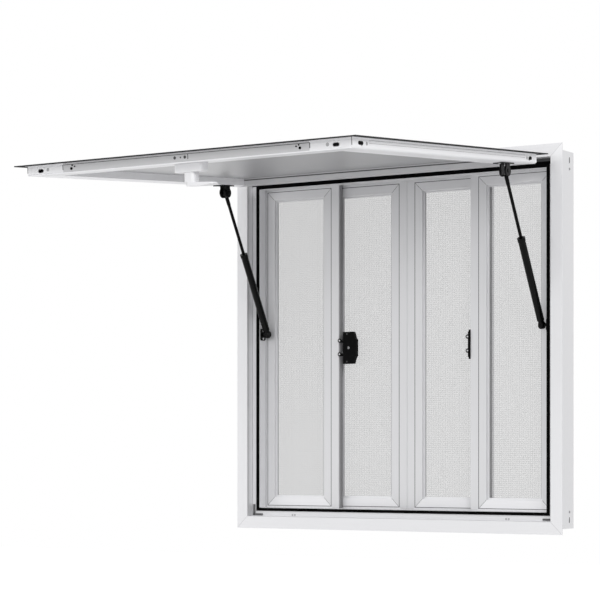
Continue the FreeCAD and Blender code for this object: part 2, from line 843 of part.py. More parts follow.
def strut(side, name):
    x = side * strut_x
    wall_x = side * jamb
    inward = (-side, 0, 0)
    start = (0, 0, 0)
    upwards = (0, 0, 1)
    place = Placement(Vector(x, foot.y, foot.z), lean)

    plate_x = wall_x if side < 0 else wall_x - size["foot_plate"]
    plate_y = foot.y + size["foot_shift"] - size["foot_width"] / 2
    plate_corner = (plate_x, plate_y, foot.z - size["foot_length"] / 2)
    plate = box(name + "_foot_plate", "foot_plate", "foot_width", "foot_length", plate_corner)
    plate_round = rounded(name + "_foot_round", plate, (1, 0, 0), "foot_round")
    stud_spot = (wall_x, foot.y, foot.z)
    stud = cylinder(name + "_foot_stud", "stud_diameter/2", "strut_inset + stud_grip", stud_spot, inward)
    node(fuse(name + "_foot_set", [plate_round, stud]), name + "_strut_foot")

    barrel = cylinder(name + "_barrel", "tube_diameter/2", "tube_length - tube_start", start, upwards)
    neck = cylinder(name + "_neck", "socket_neck/2", "tube_start", start, upwards)
    cap = cylinder(name + "_cap", "tube_cap/2", "tube_cap_length", start, upwards)
    bore = cylinder(name + "_bore", "rod_diameter/2 + rod_play", "tube_length - bore_start", start, upwards)
    along(barrel, place, size["tube_start"])
    along(neck, place, 0)
    along(cap, place, size["tube_length"] - size["tube_cap_length"])
    along(bore, place, size["bore_start"])
    socket = turned(name + "_socket", socket_outline, (x - size["socket_length"] / 2, foot.y, foot.z))
    hole_length = "strut_inset + stud_grip + stud_end_gap"
    hole = cylinder(name + "_stud_hole", "stud_diameter/2 + stud_play", hole_length, stud_spot, inward)
    solid = fuse(name + "_tube_set", [barrel, neck, cap, socket])
    holes = fuse(name + "_tube_holes", [hole, bore])
    node(cut(name + "_tube_cut", solid, holes), name + "_strut_tube")

    shaft_length = "strut_length - rod_short - tube_length + rod_hold"
    shaft = cylinder(name + "_shaft", "rod_diameter/2", shaft_length, start, upwards)
    collar = cylinder(name + "_collar", "rod_collar/2", "rod_collar_length", start, upwards)
    along(shaft, place, size["tube_length"] - size["rod_hold"])
    along(collar, place, size["strut_length"] - size["rod_short"] - size["rod_collar_length"])
    node(fuse(name + "_rod_set", [shaft, collar]), name + "_strut_rod")

    head_corner = (x - size["head_width"] / 2, rail_back, head_shut.z - size["head_length"] / 2)
    pieces = [box(name + "_head_plate", "head_width", "head_plate", "head_length", head_corner)]
    for inner, ear_name in ((-1, "_left"), (1, "_right")):
        ear_x = x + inner * size["fork_slot"] / 2
        neck_left = ear_x if inner > 0 else ear_x - size["fork_ear"]
        neck_corner = (neck_left, rail_back, head_shut.z - size["fork_neck"] / 2)
        label = name + ear_name
        pieces.append(box(label + "_ear", "fork_ear", "fork_reach", "fork_neck", neck_corner))
        spot = (ear_x, head_shut.y, head_shut.z)
        outward = (inner, 0, 0)
        pieces.append(cylinder(label + "_disc", "fork_diameter/2", "fork_ear", spot, outward))
        pieces.append(cylinder(label + "_boss", "fork_boss/2", "fork_ear + fork_boss_rise", spot, outward))
    return node(fuse(name + "_head_set", pieces), name + "_strut_head")


door_items += [strut(-1, "left"), strut(1, "right"), handle]
for item in door_items:
    item.Placement = swing.multiply(item.Placement)
doc.recompute()

# Every piece has to be sound before it is written.
for item in doc.Objects:
    if "Invalid" in item.State or "Error" in item.State:
        raise RuntimeError("unsound feature: " + item.Label)
os.makedirs("parts", exist_ok=True)
for item in nodes:
    shape = item.Shape
    if shape.isNull() or not shape.isValid():
        raise RuntimeError("unsound shape: " + item.Label)
    shape.exportStep("parts/%s.step" % item.Label)
    print(item.Label, len(shape.Solids), round(shape.Volume / 1000, 2), "cm3")
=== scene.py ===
import json
import math

import bmesh
import bpy
from mathutils import Matrix, Vector


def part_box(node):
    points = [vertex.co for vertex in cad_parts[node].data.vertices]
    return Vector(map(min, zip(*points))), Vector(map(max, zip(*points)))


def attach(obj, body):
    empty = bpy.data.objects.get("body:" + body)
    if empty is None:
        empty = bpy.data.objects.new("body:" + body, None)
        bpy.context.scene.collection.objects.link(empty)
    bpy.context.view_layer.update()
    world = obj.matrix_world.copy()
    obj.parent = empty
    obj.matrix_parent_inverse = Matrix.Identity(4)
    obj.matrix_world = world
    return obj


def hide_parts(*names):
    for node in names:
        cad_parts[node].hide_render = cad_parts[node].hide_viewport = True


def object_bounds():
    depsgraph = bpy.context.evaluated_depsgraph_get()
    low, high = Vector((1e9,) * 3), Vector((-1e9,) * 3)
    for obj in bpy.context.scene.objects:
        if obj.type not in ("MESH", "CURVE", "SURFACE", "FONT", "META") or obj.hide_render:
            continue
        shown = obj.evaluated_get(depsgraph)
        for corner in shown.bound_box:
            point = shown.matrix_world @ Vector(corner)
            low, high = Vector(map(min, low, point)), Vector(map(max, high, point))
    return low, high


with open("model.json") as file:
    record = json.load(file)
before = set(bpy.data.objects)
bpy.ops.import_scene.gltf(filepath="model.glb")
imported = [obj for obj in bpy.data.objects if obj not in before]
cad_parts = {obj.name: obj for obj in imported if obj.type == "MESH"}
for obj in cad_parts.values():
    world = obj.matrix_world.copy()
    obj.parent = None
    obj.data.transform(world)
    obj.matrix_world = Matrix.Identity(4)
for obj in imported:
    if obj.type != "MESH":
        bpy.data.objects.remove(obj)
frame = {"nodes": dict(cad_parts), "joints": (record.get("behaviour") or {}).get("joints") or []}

cadBox = [list(corner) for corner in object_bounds()]
nodes = frame["nodes"]
scene = bpy.context.scene
joints = {joint["name"]: joint for joint in frame["joints"]}
mm = 0.001
print("frame loaded:", len(nodes), "nodes")


# the door is laid out as if shut, then swung to the pose it rests in
hingeSpot = Vector(joints["door_hinge"]["pos_m"])
openAngle = math.radians(max(joints["door_hinge"]["range_deg"]))
doorSwing = (
    Matrix.Translation(hingeSpot)
    @ Matrix.Rotation(-openAngle, 4, "X")
    @ Matrix.Translation(-hingeSpot)
)
doorShut = doorSwing.inverted()


def shutBox(name):  # corners of a door node as it lies when the door is shut
    points = [doorShut @ vertex.co for vertex in nodes[name].data.vertices]
    low = Vector([min(point[i] for point in points) for i in range(3)])
    high = Vector([max(point[i] for point in points) for i in range(3)])
    return low, high


# finishes
def addSockets(group, kind, sockets):
    for name, socketType, start in sockets:
        socket = group.interface.new_socket(name, in_out=kind, socket_type=socketType)
        if start is not None:
            socket.default_value = start


def buildDrawnGrain():  # streaks along a drawn bar, or an even speckle on a moulding
    group = bpy.data.node_groups.new("drawnGrain", "ShaderNodeTree")
    addSockets(group, "INPUT", [
        ("Tone A", "NodeSocketColor", (0.7, 0.7, 0.7, 1)),
        ("Tone B", "NodeSocketColor", (0.8, 0.8, 0.8, 1)),
        ("Stretch", "NodeSocketVector", (1, 1, 1)),
        ("Scale", "NodeSocketFloat", 200),
        ("Rough Low", "NodeSocketFloat", 0.3),
        ("Rough High", "NodeSocketFloat", 0.4),
    ])
    addSockets(group, "OUTPUT", [
        ("Color", "NodeSocketColor", None),
        ("Roughness", "NodeSocketFloat", None),
        ("Height", "NodeSocketFloat", None),
    ])
    add = group.nodes.new
    link = group.links.new
    given = add("NodeGroupInput")
    result = add("NodeGroupOutput")
    place = add("ShaderNodeTexCoord")
    stretch = add("ShaderNodeVectorMath")
    stretch.operation = "MULTIPLY"
    link(place.outputs["Object"], stretch.inputs[0])
    link(given.outputs["Stretch"], stretch.inputs[1])
    grain = add("ShaderNodeTexNoise")
    grain.inputs["Detail"].default_value = 3
    link(stretch.outputs[0], grain.inputs["Vector"])
    link(given.outputs["Scale"], grain.inputs["Scale"])
    tone = add("ShaderNodeMix")
    tone.data_type = "RGBA"
    link(grain.outputs["Fac"], tone.inputs["Factor"])
    link(given.outputs["Tone A"], tone.inputs["A"])
    link(given.outputs["Tone B"], tone.inputs["B"])
    link(tone.outputs["Result"], result.inputs["Color"])
    rough = add("ShaderNodeMapRange")
    link(grain.outputs["Fac"], rough.inputs["Value"])
    link(given.outputs["Rough Low"], rough.inputs["To Min"])
    link(given.outputs["Rough High"], rough.inputs["To Max"])
    link(rough.outputs["Result"], result.inputs["Roughness"])
    link(grain.outputs["Fac"], result.inputs["Height"])
    return group


drawnGrain = buildDrawnGrain()


def finish(name, look):
    material = bpy.data.materials.new(name)
    material.use_nodes = True
    tree = material.node_tree
    shader = tree.nodes["Principled BSDF"]
    shader.inputs["Metallic"].default_value = look["metallic"]
    shader.inputs["Specular IOR Level"].default_value = look["gloss"]
    grain = tree.nodes.new("ShaderNodeGroup")
    grain.node_tree = drawnGrain
    grain.inputs["Tone A"].default_value = look["toneA"]
    grain.inputs["Tone B"].default_value = look["toneB"]
    grain.inputs["Stretch"].default_value = look["stretch"]
    grain.inputs["Scale"].default_value = look["scale"]
    grain.inputs["Rough Low"].default_value = look["rough"][0]
    grain.inputs["Rough High"].default_value = look["rough"][1]
    bump = tree.nodes.new("ShaderNodeBump")
    bump.inputs["Strength"].default_value = look["bump"]
    bump.inputs["Distance"].default_value = bumpHeight
    tree.links.new(grain.outputs["Color"], shader.inputs["Base Color"])
    tree.links.new(grain.outputs["Roughness"], shader.inputs["Roughness"])
    tree.links.new(grain.outputs["Height"], bump.inputs["Height"])
    tree.links.new(bump.outputs["Normal"], shader.inputs["Normal"])
    return material


blueTint = 1.02
bumpHeight = 0.2 * mm


def tones(low, high):  # two near greys with a touch of blue
    return {
        "toneA": (low, low, low * blueTint, 1),
        "toneB": (high, high, high * blueTint, 1),
    }


upright = {"stretch": (1, 1, 0.02)}  # grain drawn along an upright bar
level = {"stretch": (0.02, 1, 1)}
deep = {"stretch": (1, 0.02, 0.02)}  # along the door's sides, at any swing
even = {"stretch": (1, 1, 1)}
satin = {"metallic": 0.3, "gloss": 0.5, "scale": 500, "rough": (0.34, 0.44), "bump": 0.05}
moulded = {"metallic": 0.0, "gloss": 0.5, "scale": 900, "rough": (0.4, 0.5), "bump": 0.05}
looks = {
    "frameUpright": {**satin, **upright, **tones(0.77, 0.81)},
    "frameLevel": {**satin, **level, **tones(0.77, 0.81)},
    # the head's tone, darker than the other frame bars, is painted shade under the open door
    "frameHeadShaded": {**satin, **level, **tones(0.72, 0.76)},
    "sashUpright": {**satin, **upright, **tones(0.68, 0.73), "metallic": 0.35},
    "sashLevel": {**satin, **level, **tones(0.70, 0.75), "metallic": 0.35},
    "doorRail": {**satin, **level, **tones(0.84, 0.88)},
    # the side rails' near-white tone is painted light that lifts the shade under the skin's lip
    "doorSideRailLit": {**satin, **deep, **tones(0.94, 0.98)},
    # the back rail's dark tone is painted shade on the rail's inner face under the open door
    "backRailShaded": {**satin, **level, **tones(0.56, 0.60), "metallic": 0.1},
    # the bottom rails' lighter tone is painted light, the lower part of the sashes lit more strongly
    "sashBottomLit": {**satin, **level, **tones(0.82, 0.87), "metallic": 0.35},
    # grey tape tone, painted shade standing for the shaded channel of the front rail
    "channelShadeTape": {**satin, **level, **tones(0.56, 0.61)},
    # a brighter aluminium, painted highlight on the front rail's lower edge and painted light on shaded side
    # faces
    "paintedLight": {**satin, **level, **tones(0.90, 0.94)},
    "doorSheet": {**satin, **level, **tones(0.76, 0.80)},
    "doorLining": {**satin, **level, **tones(0.44, 0.50), "metallic": 0.9},
    "meshWire": {**moulded, **even, **tones(0.24, 0.30), "bump": 0.0},
    # the cords' dark tone is partly painted shade beside the screens' beads
    "screenCord": {**moulded, **even, **tones(0.34, 0.40), "rough": (0.6, 0.7)},
    "pileFelt": {**moulded, **even, **tones(0.30, 0.36), "rough": (0.7, 0.9), "gloss": 0.1},
    # dark lines for real joints, and for painted shade in grooves, corners and gaps
    "jointAndShadeLine": {**moulded, **even, **tones(0.08, 0.12), "rough": (0.7, 0.8), "gloss": 0.2},
    "faintLine": {**moulded, **even, **tones(0.46, 0.52), "rough": (0.7, 0.8), "gloss": 0.2},
    "sealRubber": {**moulded, **even, **tones(0.001, 0.003), "rough": (0.6, 0.8), "gloss": 0.02},
    "lipRubber": {**moulded, **even, **tones(0.02, 0.03), "rough": (0.6, 0.8), "gloss": 0.1},
    "blackMoulding": {**moulded, **even, **tones(0.002, 0.004), "scale": 1500, "gloss": 0.04},
    "darkMoulding": {**moulded, **even, **tones(0.06, 0.09), "scale": 1500, "gloss": 0.2},
    "slateMoulding": {**moulded, **even, **tones(0.11, 0.15), "scale": 1500, "gloss": 0.2},
    "greyMoulding": {**moulded, **even, **tones(0.26, 0.32), "scale": 1500},
    "whiteMoulding": {**moulded, **even, **tones(0.78, 0.83), "rough": (0.28, 0.36)},
    "strutPaint": {**moulded, **even, **tones(0.001, 0.002), "rough": (0.15, 0.22), "gloss": 0.1},
    "strutRod": {**moulded, **even, **tones(0.001, 0.002), "rough": (0.15, 0.22), "gloss": 0.06},
    "pinSteel": {**moulded, **level, **tones(0.50, 0.60), "metallic": 0.9, "rough": (0.25, 0.4)},
    "screwSteel": {**moulded, **even, **tones(0.55, 0.62), "metallic": 0.9, "rough": (0.3, 0.4)},
}
finishes = {name: finish(name, look) for name, look in looks.items()}
chosenLooks = {
    "frame_left": "frameUpright", "frame_right": "frameUpright", "frame_head": "frameHeadShaded",
    "frame_sill": "frameLevel", "door_rail_left": "doorSideRailLit", "door_rail_right": "doorSideRailLit",
    "door_rail_top": "backRailShaded", "door_rail_bottom": "doorRail", "door_skin": "doorSheet",
    "door_panel": "doorLining", "door_seal": "sealRubber", "hinge_pin": "pinSteel",
    "turn_latch_base": "whiteMoulding", "turn_latch_handle": "whiteMoulding",
    "sash_latch": "blackMoulding", "sash_keeper": "blackMoulding", "sash_glides": "blackMoulding",
}
endingLooks = {
    "_stile": "sashUpright", "_bottom_rail": "sashBottomLit", "_top_rail": "sashLevel",
    "_screen": "meshWire", "_strut_rod": "strutRod", "_strut_tube": "strutPaint",
    "_strut_head": "strutPaint", "_strut_foot": "strutPaint",
}


def lookFor(name):
    if name in chosenLooks:
        return chosenLooks[name]
    for ending, look in endingLooks.items():
        if name.endswith(ending):
            return look
    return "frameLevel"


for name, node in nodes.items():
    node.data.materials.clear()
    node.data.materials.append(finishes[lookFor(name)])
print("finishes:", len(finishes))


# pieces
def newPiece(name, shape, look, body, replaced=(), swung=False):
    if swung:
        bmesh.ops.transform(shape, matrix=doorSwing, verts=shape.verts)
    bmesh.ops.recalc_face_normals(shape, faces=shape.faces)
    mesh = bpy.data.meshes.new(name)
    shape.to_mesh(mesh)
    shape.free()
    piece = bpy.data.objects.new(name, mesh)
    scene.collection.objects.link(piece)
    mesh.materials.append(finishes[look])
    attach(piece, body)
    if replaced:
        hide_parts(*replaced)


def edgesOf(verts):
    return list({edge for vert in verts for edge in vert.link_edges})


def facesOf(verts):
    return list({face for vert in verts for face in vert.link_faces})


def soften(shape, edges, edge, steps=2):
    bmesh.ops.bevel(
        shape, geom=edges, offset=edge, offset_type="OFFSET", affect="EDGES", segments=steps,
        profile=0.5, clamp_overlap=True, material=-1,
    )


def addBlock(shape, low, high, turn=Matrix()):
    size = Vector(high) - Vector(low)
    middle = (Vector(high) + Vector(low)) / 2
    place = Matrix.Translation(middle) @ turn @ Matrix.Diagonal((*size, 1))
    return bmesh.ops.create_cube(shape, size=1, matrix=place)["verts"]


def addSoftBlock(shape, low, high, edge):
    soften(shape, edgesOf(addBlock(shape, low, high)), edge)


def addDrum(shape, spot, outward, radius, height, tip=1.0, sides=20):
    outward = Vector(outward)
    turn = Vector((0, 0, 1)).rotation_difference(outward).to_matrix().to_4x4()
    place = Matrix.Translation(Vector(spot) + outward * height / 2) @ turn
    return bmesh.ops.create_cone(
        shape, cap_ends=True, segments=sides, radius1=radius, radius2=radius * tip, depth=height,
        matrix=place,
    )["verts"]


screwHead = {"tip": 0.8, "sunk": 0.7}


def addScrew(shape, spot, outward, radius, height, socket=0.45):
    # a low domed head with a round socket sunk in its middle
    outward = Vector(outward)
    verts = addDrum(shape, spot, outward, radius, height, tip=screwHead["tip"])
    top = max(facesOf(verts), key=lambda face: face.calc_center_median().dot(outward))
    bmesh.ops.inset_region(shape, faces=[top], thickness=radius * (screwHead["tip"] - socket))
    bmesh.ops.translate(shape, verts=top.verts, vec=-outward * height * screwHead["sunk"])


def addRing(shape, low, high, width, front, back, edge=0):
    # four bars just inside a rectangle in X and Z
    bars = [
        ((low.x, low.z), (low.x + width, high.z)),
        ((high.x - width, low.z), (high.x, high.z)),
        ((low.x + width, low.z), (high.x - width, low.z + width)),
        ((low.x + width, high.z - width), (high.x - width, high.z)),
    ]
    for (x0, z0), (x1, z1) in bars:
        verts = addBlock(shape, (x0, front, z0), (x1, back, z1))
        if edge:
            soften(shape, edgesOf(verts), edge)


hairlineDepth = 0.08 * mm


def addMitres(shape, low, high, start, end, face, width):
    # a hairline on a front face at each corner, from start to end inwards
    for right in (False, True):
        for top in (False, True):
            inward = Vector((-1 if right else 1, 0, -1 if top else 1))
            corner = Vector((high.x if right else low.x, face, high.z if top else low.z))
            middle = corner + inward * (start + end) / 2
            half = Vector(((end - start) * math.sqrt(0.5), hairlineDepth, width / 2))
            turn = Matrix.Rotation(math.radians(-45 if right == top else 45), 4, "Y")
            addBlock(shape, middle - half, middle + half, turn)


# bars with softened edges; their mitred ends then show as fine lines
softBars = {
    "frame": 0.4 * mm, "sash": 0.3 * mm, "door": 0.5 * mm, "white": 0.8 * mm, "crease": 30,
    "weld": 0.01 * mm, "flat": 1,
}


def softCopy(node, name, body, edge, reshape=None, swung=False):
    shape = bmesh.new()
    shape.from_mesh(nodes[node].data)
    bmesh.ops.remove_doubles(shape, verts=shape.verts, dist=softBars["weld"])
    if reshape:  # points of the door are moved as they lie when it is shut
        for vert in shape.verts:
            vert.co = doorSwing @ reshape(doorShut @ vert.co) if swung else reshape(vert.co)
        bmesh.ops.remove_doubles(shape, verts=shape.verts, dist=softBars["weld"])
    flat = math.radians(softBars["flat"])
    bmesh.ops.dissolve_limit(shape, angle_limit=flat, verts=shape.verts, edges=shape.edges)
    crease = math.radians(softBars["crease"])
    sharp = [e for e in shape.edges if len(e.link_faces) == 2 and e.calc_face_angle() > crease]
    soften(shape, sharp, edge)
    newPiece(name, shape, lookFor(node), body, [node])


for side in ("left", "head", "right", "sill"):
    softCopy("frame_" + side, "frameBar_" + side, "frame", softBars["frame"])
for number in (1, 2, 3, 4):
    for bar in ("left_stile", "top_rail", "right_stile", "bottom_rail"):
        node = "sash_%d_%s" % (number, bar)
        softCopy(node, "sashBar%d_%s" % (number, bar), "frame", softBars["sash"])
for side in ("left", "top", "right", "bottom"):
    softCopy("door_rail_" + side, "doorRail_" + side, "door", softBars["door"])
# the latch's copies are a little slimmer, with the lever's tip bent down
turnLatch = {"slim": 0.86, "post": 16 * mm, "bend": 3 * mm, "lever": 50 * mm, "longer": 1.05}


def slimBase(point):
    return Vector((point.x * turnLatch["slim"], point.y, point.z))


def slimHandle(point):
    reach = max(point.x - turnLatch["post"], 0)
    x = min(point.x, turnLatch["post"]) * turnLatch["slim"]
    drop = reach * turnLatch["bend"] / turnLatch["lever"]
    return Vector((x + reach * turnLatch["longer"], point.y + drop, point.z))


soft = softBars["white"]
softCopy("turn_latch_base", "turnLatchBase", "door", soft, slimBase, True)
softCopy(
    "turn_latch_handle", "turnLatchHandle", "turn_handle", soft, slimHandle, True,
)
# the plates of the struts' heads end nearer the fork
headPlate = {"low": 725 * mm, "high": 777 * mm, "back": 17 * mm, "edge": 0.5 * mm}


def shortPlate(point):
    if point.y > headPlate["back"]:
        return point
    return Vector((point.x, point.y, min(max(point.z, headPlate["low"]), headPlate["high"])))


for side in ("left", "right"):
    node = side + "_strut_head"
    softCopy(node, side + "StrutHead", "door", headPlate["edge"], shortPlate, True)
# the struts show a little thicker than their solids
strutLook = {
    "x": 387.6 * mm, "y": 32 * mm, "z": 486.5 * mm, "way": (0, -0.484671, 0.874697), "edge": 0.3 * mm,
    "barrel": (12.9 * mm, 230 * mm), "barrelScale": 1.16,
    "rod": 3.5 * mm, "rodStart": 50 * mm, "rodScale": 1.3,
}


def thickStrut(point):
    foot = Vector((math.copysign(strutLook["x"], point.x), strutLook["y"], strutLook["z"]))
    way = Vector(strutLook["way"])
    up = (point - foot).dot(way)
    out = point - foot - way * up
    scale = 1
    if out.length < strutLook["rod"] and up > strutLook["rodStart"]:
        scale = strutLook["rodScale"]
    elif strutLook["barrel"][0] < up < strutLook["barrel"][1]:
        scale = strutLook["barrelScale"]
    return foot + way * up + out * scale


for side in ("left", "right"):
    tube = side + "_strut_tube"
    softCopy(tube, side + "StrutTube", tube, strutLook["edge"], thickStrut)
    rod = side + "_strut_rod"
    softCopy(rod, side + "StrutRod", rod, strutLook["edge"], thickStrut)
# the arms of the latch and keeper end under their screws
latchArm = {"latch": -185.5 * mm, "keeper": 178 * mm, "edge": 0.5 * mm}


def shortLatch(point):
    return Vector((max(point.x, latchArm["latch"]), point.y, point.z))


def shortKeeper(point):
    return Vector((max(point.x, latchArm["keeper"]), point.y, point.z))


softCopy("sash_latch", "sashLatch", "frame", latchArm["edge"], shortLatch)
softCopy("sash_keeper", "sashKeeper", "frame", latchArm["edge"], shortKeeper)
print("bars softened")

# woven insect screens: straight wires both ways, and a dark cord that holds the edge, laid up the two sides
# only, where its dark tone is also painted shade beside the beads
screenWeave = {"pitch": 1.6 * mm, "wire": 0.22 * mm, "thick": 0.40 * mm, "every": 3}
screenCord = {"lap": 4 * mm, "width": 1.6 * mm, "proud": 1.2 * mm, "edge": 0.4 * mm}


def addWires(shape, low, high, across, count, pitch):
    verts = addBlock(shape, low, high)
    step = Vector((0, 0, 0))
    step[across] = pitch
    bmesh.ops.spin(
        shape, geom=verts + edgesOf(verts) + facesOf(verts), cent=(0, 0, 0), axis=(0, 0, 1), dvec=step,
        angle=0, steps=count - 1, use_duplicate=True,
    )


def addWeave(shape, low, high, across, front, back):  # straight wires, every third a little thicker
    span = high[across] - low[across] - screenWeave["thick"]
    count = int(span / screenWeave["pitch"] / screenWeave["every"])
    pitch = span / count
    for index in range(screenWeave["every"]):
        width = screenWeave["wire"] if index else screenWeave["thick"]
        start = Vector((low.x, front, low.z))
        start[across] = low[across] + index * pitch / screenWeave["every"]
        end = Vector((high.x, back, high.z))
        end[across] = start[across] + width
        addWires(shape, start, end, across, count, pitch)


for number in (1, 2, 3, 4):
    node = "sash_%d_screen" % number
    low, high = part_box(node)
    middle = (low.y + high.y) / 2
    wire = screenWeave["thick"]
    shape = bmesh.new()
    addWeave(shape, low, high, 0, middle - wire, middle)
    addWeave(shape, low, high, 2, middle, middle + wire)
    newPiece("screenWeave%d" % number, shape, "meshWire", "frame", [node])
    shape = bmesh.new()
    back = middle - wire
    front = back - screenCord["proud"]
    lap = screenCord["lap"]
    for x in (low.x + lap, high.x - lap - screenCord["width"]):
        end = (x + screenCord["width"], back, high.z - lap)
        addSoftBlock(shape, (x, front, low.z + lap), end, screenCord["edge"])
    newPiece("screenCord%d" % number, shape, "screenCord", "frame")
print("screens woven")

# dark lines: painted shade in the groove round each screen's face, and the mitres as joints
sashGroove = {"inset": 21.25 * mm, "width": 1.5 * mm, "sunk": -0.05 * mm, "deep": 0.4 * mm}
sashMitre = {"start": 22.4 * mm, "end": 43 * mm, "width": 0.7 * mm}
flangeMitre = {"start": 1 * mm, "end": 30 * mm, "width": 0.6 * mm}
sidePile = {
    "near": 56 * mm, "far": 66.5 * mm, "line": 68.8 * mm, "proud": 0.5 * mm, "inset": 1 * mm,
}
jambLine = {
    "wall": 427 * mm, "ribAndCornerShade": ((2.5, 4.3), (20.4, 21.9)), "proud": 0.3 * mm, "low": 26 * mm, "high": 876 * mm,
}
for number in (1, 2, 3, 4):
    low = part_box("sash_%d_left_stile" % number)[0]
    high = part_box("sash_%d_right_stile" % number)[1]
    inset = Vector((sashGroove["inset"], 0, sashGroove["inset"]))
    face = low.y + sashGroove["sunk"]
    shape = bmesh.new()
    back = face + sashGroove["deep"]
    # a dark ring in each screen's face groove is painted shade in the groove; the mitre hairlines are joints
    addRing(shape, low + inset, high - inset, sashGroove["width"], face, back)
    addMitres(shape, low, high, sashMitre["start"], sashMitre["end"], low.y, sashMitre["width"])
    newPiece("sashLines%d" % number, shape, "jointAndShadeLine", "frame")
# pile on the meeting sides of sashes 1 and 4; its dark tone and the dark line behind it also stand for
# painted shade in the gap between the sashes
felts = bmesh.new()
lines = bmesh.new()
for node, side in (("sash_1_right_stile", 1), ("sash_4_left_stile", -1)):
    low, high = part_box(node)
    x = high.x if side > 0 else low.x - sidePile["proud"]
    ends = (x, x + sidePile["proud"])
    bottom = low.z + sidePile["inset"]
    top = high.z - sidePile["inset"]
    addBlock(felts, (ends[0], sidePile["near"], bottom), (ends[1], sidePile["far"], top))
    addBlock(lines, (ends[0], sidePile["far"], bottom), (ends[1], sidePile["line"], top))
# pale sheets on the sides of sashes 2 and 3, painted light on side faces that lie in shade behind the screens
paintedLightSheets = bmesh.new()
for node, side in (("sash_2_left_stile", -1), ("sash_3_right_stile", 1)):
    low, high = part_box(node)
    x = high.x if side > 0 else low.x - sidePile["proud"]
    bottom = low.z + sidePile["inset"]
    top = high.z - sidePile["inset"]
    near = low.y + sidePile["inset"]
    far = high.y - sidePile["inset"]
    addBlock(paintedLightSheets, (x, near, bottom), (x + sidePile["proud"], far, top))
newPiece("sidePaintedLight", paintedLightSheets, "paintedLight", "frame")
newPiece("sidePile", felts, "pileFelt", "frame")
newPiece("sidePileShadeLines", lines, "jointAndShadeLine", "frame")
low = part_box("frame_left")[0]
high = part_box("frame_right")[1]
shape = bmesh.new()
addMitres(shape, low, high, flangeMitre["start"], flangeMitre["end"], low.y, flangeMitre["width"])
newPiece("flangeLines", shape, "faintLine", "frame")
# two dark lines on each jamb's inner wall: a rib near the flange, and a painted shadow line in the corner
# where the wall meets the stop
shape = bmesh.new()
for side in (-1, 1):
    for near, far in jambLine["ribAndCornerShade"]:
        ends = sorted((side * jambLine["wall"], side * (jambLine["wall"] - jambLine["proud"])))
        addBlock(shape, (ends[0], near * mm, jambLine["low"]), (ends[1], far * mm, jambLine["high"]))
newPiece("jambLines", shape, "faintLine", "frame")
print("joint lines drawn")

# stop of the frame: a black gasket and a dark strip under the head, painted shade for the deep shade at the
# top of the recess; corner inserts and weep holes
stopFace = 22 * mm
headShadeGasket = {"half": 426.5 * mm, "low": 864.2 * mm, "high": 870 * mm, "deep": 2 * mm, "edge": 0.5 * mm}
headShadeStrip = {"half": 426.5 * mm, "low": 870 * mm, "high": 877 * mm, "deep": 1.2 * mm, "edge": 0.4 * mm}
for name, strip, look in (("headShadeGasket", headShadeGasket, "sealRubber"), ("headShadeStrip", headShadeStrip, "darkMoulding")):
    shape = bmesh.new()
    low = (-strip["half"], stopFace - strip["deep"], strip["low"])
    addSoftBlock(shape, low, (strip["half"], stopFace, strip["high"]), strip["edge"])
    newPiece(name, shape, look, "frame")
cornerInsert = {
    "outer": 424 * mm, "low": 25.5 * mm, "leg": 6 * mm, "rise": 28 * mm, "reach": 29 * mm, "deep": 2.2 * mm,
    "edge": 0.8 * mm, "thin": 0.8,
}
for side, label in ((-1, "Left"), (1, "Right")):
    shape = bmesh.new()
    front = stopFace - cornerInsert["deep"]
    foot = cornerInsert["leg"] * cornerInsert["thin"]
    legs = [(cornerInsert["leg"], cornerInsert["rise"]), (cornerInsert["reach"], foot)]
    for across, up in legs:
        ends = sorted((side * cornerInsert["outer"], side * (cornerInsert["outer"] - across)))
        low = (ends[0], front, cornerInsert["low"])
        high = (ends[1], stopFace, cornerInsert["low"] + up)
        addSoftBlock(shape, low, high, cornerInsert["edge"])
    newPiece("cornerInsert" + label, shape, "slateMoulding", "frame")
weepHole = {"x": 302 * mm, "z": 27.5 * mm, "apart": 7 * mm, "radius": 2.6 * mm, "deep": 0.3 * mm}
shape = bmesh.new()
for side in (-1, 1):
    for step in (-0.5, 0.5):
        spot = (side * weepHole["x"] + step * weepHole["apart"], stopFace, weepHole["z"])
        addDrum(shape, spot, (0, -1, 0), weepHole["radius"], weepHole["deep"], sides=16)
newPiece("weepHoles", shape, "faintLine", "frame")
boxFace = 444 * mm  # outside of the box
boxScrew = {"y": 64 * mm, "z": (45.5 * mm, 854 * mm), "radius": 3.2 * mm, "height": 0.8 * mm}
shape = bmesh.new()
for side in (-1, 1):
    for z in boxScrew["z"]:
        spot = (side * boxFace, boxScrew["y"], z)
        addScrew(shape, spot, (side, 0, 0), boxScrew["radius"], boxScrew["height"])
newPiece("boxScrews", shape, "greyMoulding", "frame")
boxSlot = {
    "y": 64 * mm, "z": (26.5 * mm, 874.5 * mm), "wide": 5 * mm, "tall": 15 * mm, "sunk": 0.3 * mm,
    "back": 443 * mm,
}
shape = bmesh.new()
for side in (-1, 1):
    for z in boxSlot["z"]:
        ends = sorted((side * boxSlot["back"], side * (boxFace - boxSlot["sunk"])))
        low = (ends[0], boxSlot["y"] - boxSlot["wide"] / 2, z - boxSlot["tall"] / 2)
        high = (ends[1], boxSlot["y"] + boxSlot["wide"] / 2, z + boxSlot["tall"] / 2)
        addBlock(shape, low, high)
newPiece("boxSlots", shape, "blackMoulding", "frame")
print("frame fitted")

